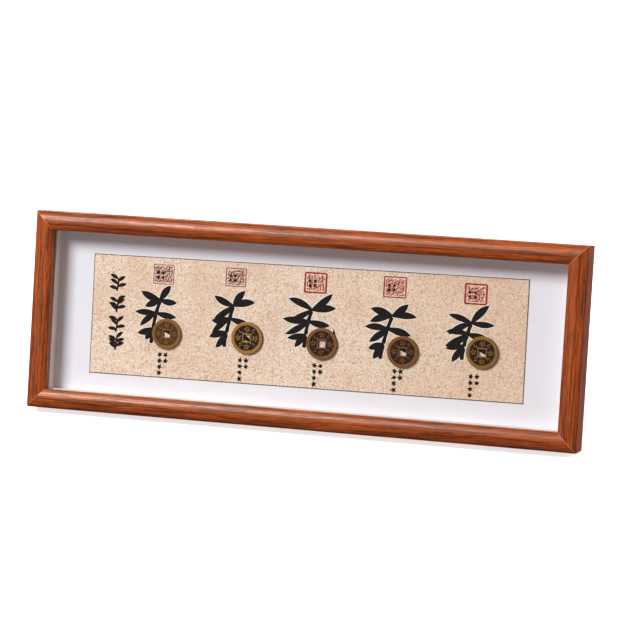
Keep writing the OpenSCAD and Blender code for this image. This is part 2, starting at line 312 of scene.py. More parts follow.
def combine(obj, tool, operation):
    """Boolean of obj with tool, which is used up."""
    apply_modifier(obj, "BOOLEAN", operation=operation, object=tool, solver="EXACT")
    bpy.data.objects.remove(tool)


def join(objects):
    only(objects[0])
    for obj in objects:
        obj.select_set(True)
    bpy.ops.object.join()
    return bpy.context.object


def merged_copy(name):
    """A copy of a CAD node with its loose triangles merged back into flat faces."""
    deselect_all()
    obj = nodes[name].copy()
    obj.data = nodes[name].data.copy()
    obj.parent = None
    for key in list(obj.keys()):
        del obj[key]
    obj.data.materials.clear()
    bpy.context.scene.collection.objects.link(obj)
    with editing(obj):
        bpy.ops.mesh.select_all(action="SELECT")
        bpy.ops.mesh.remove_doubles(threshold=0.002 * MM)
        bpy.ops.mesh.dissolve_limited(angle_limit=math.radians(0.5))
        bpy.ops.mesh.normals_make_consistent(inside=False)
    return obj


def place_mesh(obj, matrix):
    """Moves obj's mesh by matrix and leaves the object at the origin."""
    only(obj)
    obj.matrix_world = matrix @ obj.matrix_world
    bpy.ops.object.transform_apply()


def finish_piece(obj, name, finishes, slot, stands_for=(), body="frame"):
    """Names a piece, gives it its materials and ties it to the frame."""
    obj.name = name
    obj.data.name = name
    if not obj.data.materials:
        for finish in finishes:
            obj.data.materials.append(finish)
    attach(obj, body)
    if stands_for:
        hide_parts(*stands_for)
    return obj


def softened_node(name, finish, slot, width, segments=2, body="frame", label=None):
    """The CAD node's own shape with rounded edges, in place of it."""
    obj = merged_copy(name)
    soften(obj, width, segments)
    return finish_piece(obj, label or name + "_finished", [finish], slot, [name], body)


def brush_marks(strokes, thickness, y, grow=0.0, sides=1):
    """Flat marks lying at depth y: each stroke is a list of (x, z, half width)."""
    deselect_all()
    bpy.ops.curve.primitive_bezier_curve_add()
    obj = bpy.context.object
    curve = obj.data
    curve.splines.clear()
    curve.dimensions = "3D"
    curve.bevel_depth = 1
    curve.bevel_resolution = sides
    curve.use_fill_caps = True
    widest = 0
    for stroke in strokes:
        spline = curve.splines.new("POLY")
        spline.points.add(len(stroke) - 1)
        for point, (x, z, half_width) in zip(spline.points, stroke):
            point.co = (x, 0, z, 1)
            point.radius = half_width + grow
            widest = max(widest, half_width + grow)
    only(obj)
    bpy.ops.object.convert(target="MESH")
    obj = bpy.context.object
    bpy.ops.transform.resize(value=(1, thickness / widest, 1), center_override=(0, 0, 0))
    obj.location.y = y
    bpy.ops.object.transform_apply()
    smooth(obj, 60)
    return obj


# --- shader building


def put(tree, kind, settings=(), **sockets):
    """Adds a node with these settings, and feeds its sockets."""
    node = tree.nodes.new(kind)
    for name, value in dict(settings).items():
        setattr(node, name, value)
    feed_all(node, sockets)
    return node


def feed(socket, value):
    """Links value to the socket if it is a socket too, and sets it there otherwise."""
    if isinstance(value, NodeSocket):
        socket.id_data.links.new(value, socket)
    else:
        socket.default_value = value


def feed_all(node, sockets):
    """Feeds sockets by name. Spaces in their names are written as underscores."""
    for name, value in sockets.items():
        feed(node.inputs[name.replace("_", " ")], value)


def new_finish(name, turn=(0, 0, 0), shift=(0, 0, 0)):
    """A new material, and its object coordinates after a turn and a move."""
    material = bpy.data.materials.new(name)
    material.use_nodes = True
    tree = material.node_tree
    coords = put(tree, "ShaderNodeTexCoord").outputs["Object"]
    return material, put(tree, "ShaderNodeMapping", Vector=coords, Rotation=turn, Location=shift).outputs[0]


def dress(material, **sockets):
    """Feeds the sockets of the material's shader and hands the material back."""
    feed_all(material.node_tree.nodes["Principled BSDF"], sockets)
    return material


def darker(colour, share):
    return [c * share for c in colour]


def calc(operation, first, second=0.0, third=0.0, clamp=False):
    node = put(first.id_data, "ShaderNodeMath", {"operation": operation, "use_clamp": clamp})
    for socket, value in zip(node.inputs, (first, second, third)):
        feed(socket, value)
    return node.outputs[0]


def tone(colour):
    return (*colour[:3], 1)


def mixed(factor, first, second):
    """Colour between first and second. At least one of the three is a socket."""
    tree = next(v for v in (factor, first, second) if isinstance(v, NodeSocket)).id_data
    node = put(tree, "ShaderNodeMix", {"data_type": "RGBA"})
    for index, value in ((0, factor), (6, first), (7, second)):
        feed(node.inputs[index], value if isinstance(value, (NodeSocket, float)) else tone(value))
    return node.outputs[2]


def laid_on(shade, colour, mask, low, high, most):
    """Shade with colour laid on it, from none where mask is low to most of it where it is high."""
    return mixed(between(mask, low, high, 0.0, most), shade, colour)


def noise(vector, scale, detail=4.0, roughness=0.55, distortion=0.0):
    sockets = {"Scale": scale, "Detail": detail, "Roughness": roughness, "Distortion": distortion}
    return put(vector.id_data, "ShaderNodeTexNoise", Vector=vector, **sockets).outputs[0]


def streaks(vector, stretch, detail, roughness, distortion=0.0, scale=1.0):
    """Noise whose fineness differs from axis to axis."""
    drawn = put(vector.id_data, "ShaderNodeMapping", Vector=vector, Scale=stretch).outputs[0]
    return noise(drawn, scale, detail, roughness, distortion)


def cells(vector, scale, feature="F1"):
    node = put(vector.id_data, "ShaderNodeTexVoronoi", {"feature": feature}, Vector=vector, Scale=scale)
    return node.outputs["Distance"]


def along(vector, axis):
    return put(vector.id_data, "ShaderNodeSeparateXYZ", Vector=vector).outputs[axis]


def between(value, low, high, new_low=0.0, new_high=1.0):
    """Smooth step of value from low..high to new_low..new_high."""
    ends = {"From_Min": low, "From_Max": high, "To_Min": new_low, "To_Max": new_high}
    smooth_step = {"interpolation_type": "SMOOTHSTEP"}
    return put(value.id_data, "ShaderNodeMapRange", smooth_step, Value=value, **ends).outputs[0]


def relief(height, depth, strength=1.0):
    bump = put(height.id_data, "ShaderNodeBump", Height=height, Distance=depth, Strength=strength)
    return bump.outputs[0]


# --- finishes

UNLEAN = (LEAN, 0, 0)
RING_PITCH = 6 * MM  # from one dark vein of the wood to the next


def wood_wrap(name, turn, shift, look):
    """Printed wood-grain wrap whose grain runs along x after the turn."""
    material, grain = new_finish(name, turn, shift)
    broad = streaks(grain, (9, 190, 190), 4.0, 0.55, 0.8)
    streak = streaks(grain, (24, 900, 900), 4.0, 0.62, 0.4)
    hair = streaks(grain, (120, 2600, 2600), 2.0, 0.5)
    slow = streaks(grain, (11, 11, 11), 3.0, 0.5)
    fine = streaks(grain, (60, 2900, 2900), 3.0, 0.6, 0.3)
    wander = calc("MULTIPLY", calc("SUBTRACT", slow, 0.5), 26 * MM)
    fray = calc("MULTIPLY", calc("SUBTRACT", streak, 0.5), 2.4 * MM)
    line = calc("ADD", calc("ADD", along(grain, "Z"), wander), fray)
    ring = calc("SINE", calc("MULTIPLY", line, 2 * math.pi / RING_PITCH))
    vein = calc("MULTIPLY", between(ring, 0.55, 1.0), between(broad, 0.34, 0.62, 0.1, 1.0))
    pores = between(hair, 0.56, 0.66, 0.0, 0.7)
    body = laid_on(look.wood_light, look.wood_mid, broad, 0.32, 0.7, 0.8)
    body = laid_on(body, look.wood_dark, streak, 0.5, 0.61, 0.78)
    body = laid_on(body, look.wood_dark, fine, 0.46, 0.58, 0.45)
    body = mixed(calc("MULTIPLY", vein, 0.42), body, look.wood_dark)
    body = mixed(pores, body, look.wood_dark)
    height = calc("ADD", calc("MULTIPLY", streak, 0.6), calc("MULTIPLY", pores, -1.2))
    return dress(
        material,
        Base_Color=body,
        Roughness=between(streak, 0.3, 0.7, 0.3, 0.44),
        Specular_IOR_Level=0.62,
        Specular_Tint=(1, 0.78, 0.64, 1),
        Normal=relief(height, 0.05 * MM, 0.6),
    )


def fibre(name, colour, dark, fleck_size, roughness=0.85, flecks=0.5):
    """Pressed fibre: short flecks in a fine ground."""
    material, place = new_finish(name, UNLEAN)
    fine = noise(place, 1 / (0.25 * fleck_size), 5.0, 0.7)
    flecked = streaks(place, (0.35, 1, 1), 3.0, 0.6, 2.5, 1 / fleck_size)
    cloud = noise(place, 1 / (40 * fleck_size), 2.0)
    shade = laid_on(colour, dark, flecked, 0.45, 0.75, flecks)
    shade = laid_on(shade, dark, cloud, 0.3, 0.7, 0.25)
    shade = laid_on(shade, dark, fine, 0.35, 0.75, 0.35)
    bumps = relief(calc("ADD", fine, flecked), 0.05 * MM, 0.6)
    return dress(material, Base_Color=shade, Roughness=roughness, Normal=bumps)


def white_card(name, colour, specks=True):
    """Smooth white board with faint fibres and a few dark specks."""
    material, place = new_finish(name, UNLEAN)
    fibres = streaks(place, (400, 400, 1400), 4.0, 0.6, 1.2)
    shaded = darker(colour, 0.95)
    shade = laid_on(colour, shaded, fibres, 0.3, 0.8, 0.5)
    shade = laid_on(shade, shaded, noise(place, 18.0, 3.0), 0.35, 0.7, 0.5)
    if specks:
        lucky = between(noise(place, 31.0, 1.0), 0.59, 0.61)
        speck = calc("MULTIPLY", between(cells(place, 55.0), 0.018, 0.03, 1.0, 0.0), lucky)
        shade = mixed(speck, shade, linear(120, 108, 108))
    return dress(material, Base_Color=shade, Roughness=0.75, Normal=relief(fibres, 0.02 * MM, 0.4))


def clear_glass(name, tint):
    """Clear pane: a faint mirror over a see-through body, with wiping marks in its gloss."""
    material, place = new_finish(name, UNLEAN)
    tree = material.node_tree
    tree.nodes.remove(tree.nodes["Principled BSDF"])
    wipes = streaks(place, (6, 40, 40), 5.0, 0.6, 1.5)
    mirror = put(tree, "ShaderNodeBsdfAnisotropic", Roughness=between(wipes, 0.4, 0.8, 0.02, 0.09))
    through = put(tree, "ShaderNodeBsdfTransparent", Color=tone(tint))
    slant = put(tree, "ShaderNodeLayerWeight", Blend=0.5).outputs["Facing"]
    gloss = calc("MULTIPLY_ADD", calc("POWER", slant, 5.0), 0.96, 0.04)
    mix = put(tree, "ShaderNodeMixShader", Fac=gloss)
    feed(mix.inputs[1], through.outputs[0])
    feed(mix.inputs[2], mirror.outputs[0])
    feed(tree.nodes["Material Output"].inputs["Surface"], mix.outputs[0])
    return material


def glass_edge(name):
    """Ground green edge of the pane."""
    material, place = new_finish(name)
    grit = noise(place, 3000.0, 3.0)
    shade = mixed(grit, linear(120, 168, 150), linear(186, 214, 202))
    return dress(material, Base_Color=shade, Roughness=0.6, Normal=relief(grit, 0.05 * MM))


def printed_ground(name, look):
    """Beige ground with small pale scrolls, which deepens to the right."""
    material, place = new_finish(name, UNLEAN)
    tree = material.node_tree
    warp = put(tree, "ShaderNodeCombineXYZ", X=noise(place, 520.0, 2.0, 0.5), Z=noise(place, 390.0, 2.0))
    bent = put(tree, "ShaderNodeVectorMath", {"operation": "SCALE"}, Vector=warp.outputs[0], Scale=3.2 * MM)
    moved = put(tree, "ShaderNodeVectorMath", {"operation": "ADD"}, Vector=place)
    feed(moved.inputs[1], bent.outputs[0])
    lines = between(cells(moved.outputs[0], 620.0, "DISTANCE_TO_EDGE"), 0.05, 0.2, 1.0, 0.0)
    bands = noise(place, 330.0, 3.0, 0.6, 1.5)
    mottle = calc("MULTIPLY", lines, between(bands, 0.38, 0.58, 0.35, 1.0))
    shade = mixed(mottle, look.paper, look.pattern)
    shade = laid_on(shade, look.pattern, noise(place, 24.0, 3.0), 0.4, 0.7, 0.3)
    rightward = between(along(place, "X"), 0.0, SHEET_W / 2, 0.0, 0.36)
    shade = mixed(rightward, shade, mixed(0.65, shade, linear(212, 152, 112)))
    grain = noise(place, 2600.0, 2.0)
    shade = laid_on(shade, linear(150, 110, 84), grain, 0.3, 0.75, 0.12)
    bumps = relief(calc("ADD", grain, bands), 0.015 * MM, 0.5)
    return dress(material, Base_Color=shade, Roughness=0.7, Normal=bumps)


def print_ink(name, colour, faded, wear=0.35):
    """Printed colour with a slightly dry, uneven lay."""
    material, place = new_finish(name, UNLEAN)
    dry = streaks(place, (900, 900, 2600), 4.0, 0.65)
    uneven = calc("MULTIPLY", between(dry, 0.42, 0.75), between(noise(place, 300.0, 3.0), 0.3, 0.65))
    shade = mixed(calc("MULTIPLY", uneven, wear), colour, faded)
    bumps = relief(dry, 0.01 * MM, 0.4)
    return dress(material, Base_Color=shade, Roughness=0.85, Specular_IOR_Level=0.08, Normal=bumps)


def coin_metal(name, high, low, centre, surface_y, field, patina):
    """Worn cast metal: bright where it is rubbed, dark in the field, with blotchy patina."""
    material, place = new_finish(name, UNLEAN, [-c for c in centre])
    blotch = noise(place, 420.0, 5.0, 0.65, 0.8)
    pits = noise(place, 1900.0, 4.0, 0.7)
    rubbed = between(along(place, "Y"), surface_y + 0.45 * field, surface_y + 0.92 * field, 1.0, 0.0)
    rubbed = calc("SUBTRACT", rubbed, between(blotch, 0.42, 0.72, 0.0, patina), clamp=True)
    shade = laid_on(mixed(rubbed, low, high), low, pits, 0.5, 0.7, 0.6)
    height = calc("ADD", pits, calc("MULTIPLY", blotch, 0.6))
    return dress(
        material,
        Base_Color=shade,
        Specular_IOR_Level=0.12,
        Metallic=between(rubbed, 0.0, 1.0, 0.2, 0.8),
        Roughness=between(rubbed, 0.0, 1.0, 0.85, 0.5),
        Normal=relief(height, 0.06 * MM, 0.7),
    )


def sheet_steel(name, colour, roughness, stain):
    """Plated sheet metal with rolling lines, dull blotches and fine scratches."""
    material, place = new_finish(name, UNLEAN)
    rolled = streaks(place, (80, 300, 3000), 4.0, 0.6)
    scratch = streaks(place, (200, 900, 5200), 2.0, 0.5, 0.8)
    shade = laid_on(colour, stain, noise(place, 160.0, 4.0, 0.6, 0.5), 0.4, 0.75, 0.7)
    shade = laid_on(shade, linear(235, 232, 222), scratch, 0.64, 0.72, 0.35)
    dull = between(rolled, 0.3, 0.7, roughness, roughness + 0.16)
    bumps = relief(calc("ADD", rolled, scratch), 0.02 * MM, 0.5)
    return dress(material, Base_Color=shade, Metallic=0.9, Roughness=dull, Normal=bumps)


def dried_glue(name):
    """Ivory hot glue with small bubbles."""
    material, place = new_finish(name, UNLEAN)
    return dress(
        material,
        Base_Color=mixed(noise(place, 700.0, 3.0), linear(232, 224, 196), linear(246, 240, 222)),
        Roughness=0.3,
        Subsurface_Weight=0.2,
        Subsurface_Scale=1 * MM,
        Normal=relief(cells(place, 2200.0), 0.1 * MM, 0.4),
    )


def floor_sweep(name, colour):
    """Pale floor that glows a little, as a white sweep under studio light does."""
    material, place = new_finish(name)
    shade = laid_on(colour, darker(colour, 0.98), noise(place, 900.0, 2.0), 0.3, 0.7, 0.3)
    white = (1, 1, 1, 1)
    return dress(material, Base_Color=shade, Roughness=0.9, Emission_Color=white, Emission_Strength=0.72)


# --- rails

CUT_PAST = 1 * MM  # how far a cutter reaches past what it cuts
POCKET_PLAY = 0.03 * MM


def looks():
    return bpy.context.scene.coin_frame_looks


def straight_moulding(length, look):
    """Moulding with mitred ends, lying as the bottom rail does."""
    half = length / 2
    shoulder = look.crown_rise + look.quirk_drop
    chord = FACE_W - look.quirk
    crown_r = (chord * chord / 4 + look.crown_rise**2) / (2 * look.crown_rise)
    crown_mid = look.quirk + chord / 2
    wall = FILL_EDGE - look.rebate_gap
    levels = [look.quirk + chord * i / look.steps for i in range(1, look.steps)]
    rail = block((-half, shoulder, 0), (half, GLASS_Y, FACE_W))
    with editing(rail):
        for z in (look.quirk, wall):
            cut_at((0, 0, z), (0, 0, 1))
        pick("FACE", lambda f: f.normal.y < -0.5 and f.calc_center_median().z > look.quirk)
        extrude((0, -look.quirk_drop, 0))
        pick("FACE", lambda f: f.normal.y > 0.5 and f.calc_center_median().z < wall)
        extrude((0, FRAME_D - GLASS_Y, 0))
        for z in levels:
            cut_at((0, 0, z), (0, 0, 1))
        for z in levels + [wall]:
            crown_y = crown_r - math.sqrt(crown_r**2 - (z - crown_mid) ** 2)
            pick("VERT", lambda v: abs(v.co.z - z) < TINY and v.co.y < look.crown_rise + TINY)
            bpy.ops.transform.translate(value=(0, crown_y - look.crown_rise, 0))
        cut_at((0, 0, look.fold), (0, 0, 1))
        outer = [(shoulder, 0), (FRAME_D, 0)]
        inner = [(look.crown_rise, FACE_W), (GLASS_Y, FACE_W), (FRAME_D, wall)]
        pick("EDGE", lambda e: any(runs_at(e, y, z) for y, z in outer + inner))
        bpy.ops.mesh.bevel(offset=look.arris, segments=3, affect="EDGES")
        for side in (-1, 1):
            cut_at((side * half, 0, 0), (side, 0, 1), drop=True)
    return rail


def runs_at(edge, y, z):
    """Whether an edge runs along x at that depth and height."""
    return all(abs(v.co.y - y) < TINY and abs(v.co.z - z) < TINY for v in edge.verts)


def shows_on_mitre(edge, half):
    """Whether an edge runs round the part of a mitre face that can be seen."""
    points = [v.co for v in edge.verts]
    one_end = points[0].x * points[1].x > 0
    on_mitre = one_end and all(abs(abs(p.x) + p.z - half) < 2 * TINY for p in points)
    return on_mitre and (all(p.y < GLASS_Y for p in points) or all(p.z < TINY for p in points))


def wear_mitres(rail, half, seam):
    """Chamfers the seen edges of both mitre faces. The chamfers get the third finish, the seam's."""
    with editing(rail):
        pick("EDGE", lambda e: shows_on_mitre(e, half))
        bpy.ops.mesh.bevel(offset=seam, segments=1, affect="EDGES", material=2)


def mark_raw_faces(rail, fold):
    """Gives the core's finish to the rebate, the back and the mitres, which the wrap leaves bare."""
    for face in rail.data.polygons:
        on_back = face.normal.y > 0.7 and face.center.z > fold and face.center.y > GLASS_Y - TINY
        in_rebate = face.center.y > GLASS_Y + TINY and face.normal.z > 0.7
        if face.material_index == 0 and (on_back or in_rebate or abs(face.normal.x) > 0.5):
            face.material_index = 1


def nail_pockets():
    """The corner nails' shapes, carried out through the back, for cutting their pockets."""
    pockets = merged_copy("corner_v_nails")
    place_mesh(pockets, UPRIGHT.inverted())
    with editing(pockets):
        pick("VERT", lambda v: v.co.y > FRAME_D - CUT_PAST)
        bpy.ops.transform.translate(value=(0, CUT_PAST, 0))
        bpy.ops.mesh.select_all(action="SELECT")
        bpy.ops.transform.shrink_fatten(value=POCKET_PLAY)
    return pockets


def build_rails():
    look = looks().rails
    core = fibre("raw_core", look.core, darker(look.core, 0.6), 0.6 * MM)
    seam = fibre("worn_seam", look.seam_colour, darker(look.seam_colour, 0.75), 0.3 * MM, 0.6)
    quarter = math.pi / 2
    places = {
        "bottom_rail": (FRAME_W, 0, (0, 0, 0)),
        "top_rail": (FRAME_W, 2 * quarter, (0, 0, FRAME_H)),
        "left_rail": (FRAME_H, quarter, (-FRAME_W / 2, 0, FRAME_H / 2)),
        "right_rail": (FRAME_H, -quarter, (FRAME_W / 2, 0, FRAME_H / 2)),
    }
    for number, (name, (length, turn, place)) in enumerate(places.items()):
        shift = (0.37 * number, 0.05 * number, 0.113 * number)
        wood = wood_wrap("wood_wrap_" + name, (LEAN, -turn, 0), shift, look)
        rail = straight_moulding(length, look)
        in_frame = Matrix.Translation(place) @ Matrix.Rotation(turn, 4, "Y")
        pockets = nail_pockets()
        place_mesh(pockets, in_frame.inverted())
        combine(rail, pockets, "DIFFERENCE")
        for finish in (wood, core, seam):
            rail.data.materials.append(finish)
        wear_mitres(rail, length / 2, look.seam)
        mark_raw_faces(rail, look.fold)
        smooth(rail)
        place_mesh(rail, UPRIGHT @ in_frame)
        finish_piece(rail, name + "_wrapped", [], "rail_wrap", [name])


# --- glass, spacers, mount and back


def board_piece(name, finishes, slot, edge, label):
    """A flat board or strip the size of its CAD node, edges softened, sides in the second finish."""
    board = block(*upright_box(name))
    soften(board, edge)
    for finish in finishes:
        board.data.materials.append(finish)
    if len(finishes) > 1:
        for face in board.data.polygons:
            face.material_index = 0 if abs(face.normal.y) > 0.7 else 1
    place_mesh(board, UPRIGHT)
    return finish_piece(board, label, finishes, slot, [name])


def build_filling():
    look = looks().filling
    pane = [clear_glass("clear_pane", look.glass_tint), glass_edge("ground_edge")]
    board_piece("glass_pane", pane, "glass", look.edge, "glass_sheet")
    spacer_white = white_card("spacer_card", look.spacer, specks=False)
    for side in ("top", "bottom", "left", "right"):
        board_piece(side + "_spacer", [spacer_white], "spacer_white", look.edge, side + "_spacer_strip")
    mount_white = white_card("mount_card", look.board)
    board_piece("mount_board", [mount_white], "mount_white", look.edge, "mount_card_board")


def build_back():
    look = looks().filling
    board = fibre("back_fibreboard", look.back, darker(look.back, 0.55), 0.9 * MM, 0.8, 0.6)
    softened_node("back_board", board, "back_fibreboard", 0.4 * MM)
    dark_back, darkest_back = darker(look.back, 0.8), darker(look.back, 0.42)
    strut = fibre("strut_fibreboard", dark_back, darkest_back, 0.8 * MM, 0.75, 0.6)
    softened_node("easel_strut", strut, "back_fibreboard", 0.5 * MM, body="strut")


# --- printed sheet

SPRAY_BOXES = [  # middle x and z, width and height of each ink spray on the sheet, mm
    (-119.5, -2, 32, 37.5),
    (-58.5, -2, 35.5, 35.5),
    (7, 0, 40, 32),
    (67.5, -2, 37, 37),
    (132, -1.5, 40.5, 31),
]
SEAL_BOXES = [  # middle x and z, width and height, border width, mm; the last says strong red
    (-116.5, 34.2, 17, 15.6, 0.6, False),
    (-57.1, 35.3, 16.8, 14.7, 0.8, False),
    (7.4, 34.9, 18.5, 16.5, 1.5, True),
    (70.6, 35.3, 18.3, 16.7, 1.1, True),
    (134.1, 33.8, 18, 16.5, 1.5, True),
]
TITLE_PLACES = [(-154.3, 24.1), (-154, 7.4), (-153.8, -8.2), (-153.7, -22.7)]  # x and z, mm
CAPTION_LEFT_X = [-116.8, -50.6, 9.8, 73.5, 133.4]  # mm, as are the next two
CAPTION_RIGHT_STEP = 4.8
CAPTION_ROWS = [-29.3, -34.1, -38.9, -43.8]
CAPTION_RIGHT_ROWS = 2  # the right-hand column is this many florets high
CAPTION_SIZE = 4.3 * MM
SPRIG_SIZE = 13 * MM
SPRAY_SEED = 40
STEM_WIDTH = 4.0 * MM
STEM_GAP = 0.9 * MM  # bare gap at each joint of a stem
LEAF_WIDTHS = (5.6, 7.0)  # least and most, mm
SEAL_DOT_X = (-4.6, -0.6)  # from the seal's middle, mm
SEAL_DOT_Z = (-2.4, 1.2)
SEAL_DOT_SIZE = 3.0 * MM
MAZE_PITCH = 1.15 * MM
MAZE_HALF_WIDTHS = (0.34, 0.5)  # least and most, mm
PANEL_SEAM_X = -23.6 * MM
PANEL_SEAM_HALF = 0.15 * MM
PANEL_SEAM_END = 1 * MM  # where it stops short of the sheet's edges
FIFTH_TURN = 1.257  # radians


def brush_mark(x, z, heading, length, bend, steps, half_width):
    """A curved mark, as (x, z, half width) along its line. half_width goes by the share of the way."""
    marks = []
    for step in range(steps + 1):
        t = step / steps
        marks.append((x, z, half_width(t)))
        angle = heading + bend * (t - 0.5)
        x += math.cos(angle) * length / steps
        z += math.sin(angle) * length / steps
    return marks


def brush_leaf(x, z, heading, length, width, bend, steps=9):
    """A mark that swells and tapers."""

    def half_width(t):
        swell = math.sin(math.pi * min(1, 0.12 + 0.88 * t) ** 1.25) ** 0.8
        return max(0.06 * MM, width / 2 * swell)

    return brush_mark(x, z, heading, length, bend, steps, half_width)


def brush_stem(x, z, heading, length, width, bend):
    """A mark of even width with blunt, slightly swollen ends."""

    def half_width(t):
        return width / 2 * (0.8 + 0.35 * abs(2 * t - 1) ** 2) * (0.6 if t in (0, 1) else 1)

    return brush_mark(x, z, heading, length, bend, 7, half_width)


def bamboo_spray(middle_x, middle_z, width, height, seed):
    """Jointed stem with three fans of leaves and two leaves apart, filling a box on the sheet."""
    chance = random.Random(seed)
    deg = math.radians
    strokes = []
    x = middle_x - 0.16 * width
    z = middle_z - 0.5 * height
    heading = deg(chance.uniform(80, 88))
    joints = []
    for joint_length in (0.3, 0.3, 0.26):
        length = joint_length * height
        strokes.append(brush_stem(x, z, heading, length, STEM_WIDTH, deg(chance.uniform(-8, 4))))
        x += math.cos(heading) * (length + STEM_GAP)
        z += math.sin(heading) * (length + STEM_GAP)
        joints.append((x, z))
        heading -= deg(chance.uniform(2, 8))
    fans = [
        (joints[0], (200, 232), 0.42),
        (joints[1], (-8, 186, 216), 0.52),
        (joints[2], (48, 2, 158, 206), 0.52),
    ]
    for (fan_x, fan_z), headings, reach in fans:
        for leaf_heading in headings:
            heading = deg(leaf_heading + chance.uniform(-9, 9))
            length = reach * width * chance.uniform(0.8, 1.05)
            leaf_width = chance.uniform(*LEAF_WIDTHS) * MM
            bend = deg(chance.uniform(-30, 30))
            strokes.append(brush_leaf(fan_x, fan_z, heading, length, leaf_width, bend))
    low_x, low_z = middle_x + 0.05 * width, middle_z - 0.16 * height
    strokes.append(brush_leaf(low_x, low_z, deg(-28), 0.5 * width, 4.2 * MM, deg(-24)))
    right_x, right_z = middle_x + 0.42 * width, middle_z - 0.02 * height
    strokes.append(brush_leaf(right_x, right_z, deg(-75), 0.46 * height, 3.4 * MM, deg(20)))
    return strokes


def sprig(x, z, size, seed, petals):
    """Small ornament: a short stem with leaves on both sides."""
    chance = random.Random(seed)
    deg = math.radians
    strokes = [brush_stem(x - 0.06 * size, z - 0.42 * size, deg(84), 0.8 * size, 0.15 * size, deg(14))]
    for petal in range(petals):
        side = 1 if petal % 2 else -1
        lift = z - 0.3 * size + 0.62 * size * petal / max(1, petals - 1)
        heading = deg(90 - side * chance.uniform(48, 84))
        strokes.append(brush_leaf(x, lift, heading, 0.58 * size, 0.27 * size, deg(side * -30), 6))
    return strokes


def floret(x, z, size, seed):
    """Tiny blossom with five uneven petals."""
    chance = random.Random(seed)
    turn = chance.uniform(0, 1.2)
    petals = []
    for petal in range(5):
        length = chance.uniform(0.4, 0.6) * size
        petals.append(brush_leaf(x, z, turn + petal * FIFTH_TURN, length, 0.36 * size, 0.5, 4))
    return petals


def seal_strokes(x, z, width, height, border, seed):
    """Border ring round a maze of short bars, which says nothing."""
    chance = random.Random(seed)
    w, h = (width - border) / 2, (height - border) / 2
    corners = [(x - w, z - h), (x + w, z - h), (x + w, z + h), (x - w, z + h)]
    strokes = []
    for i, (corner_x, corner_z) in enumerate(corners):
        next_x, next_z = corners[(i + 1) % 4]
        strokes.append([(corner_x, corner_z, border / 2), (next_x, next_z, border / 2)])
    columns = round((width - 2 * border) / MAZE_PITCH) - 1
    rows = round((height - 2 * border) / MAZE_PITCH) - 1
    step_x = (width - 2 * border) / (columns + 1)
    step_z = (height - 2 * border) / (rows + 1)
    for column in range(columns):
        for row in range(rows):
            at_x = x - w + border / 2 + step_x * (column + 1)
            at_z = z - h + border / 2 + step_z * (row + 1)
            right = chance.random() < 0.5
            far_x = at_x + (step_x if right and column < columns - 1 else 0)
            far_z = at_z + (0 if right or row == rows - 1 else step_z)
            half = chance.uniform(*MAZE_HALF_WIDTHS) * MM
            if (far_x, far_z) != (at_x, at_z):
                strokes.append([(at_x, at_z, half), (far_x, far_z, half)])
    return strokes


def lay_print(strokes, name, finish, thickness, lift=0.0, grow=0.0):
    """Printed marks as their own piece, just proud of the sheet."""
    marks = brush_marks(strokes, thickness, SHEET_Y - lift, grow)
    place_mesh(marks, ON_SHEET)
    return finish_piece(marks, name, [finish], "printed_paper")


def build_sheet(look):
    """The sheet itself, with its border line."""
    sheet = block((-SHEET_W / 2, SHEET_Y, -SHEET_H / 2), (SHEET_W / 2, SHEET_BACK_Y, SHEET_H / 2))
    paper = printed_ground("printed_ground", look)
    line = print_ink("border_line", linear(60, 53, 50), linear(120, 104, 92))
    for finish in (paper, line):
        sheet.data.materials.append(finish)
    with editing(sheet):
        pick("FACE", lambda f: f.normal.y < -0.5)
        bpy.ops.mesh.inset(thickness=look.border)
    for face in sheet.data.polygons:
        on_edge = max(abs(face.center.x) / SHEET_W, abs(face.center.z) / SHEET_H) > 0.4
        face.material_index = 1 if face.normal.y < -0.5 and on_edge else 0
    place_mesh(sheet, ON_SHEET)
    finish_piece(sheet, "sheet_with_border", [], "printed_paper", ["printed_sheet"])


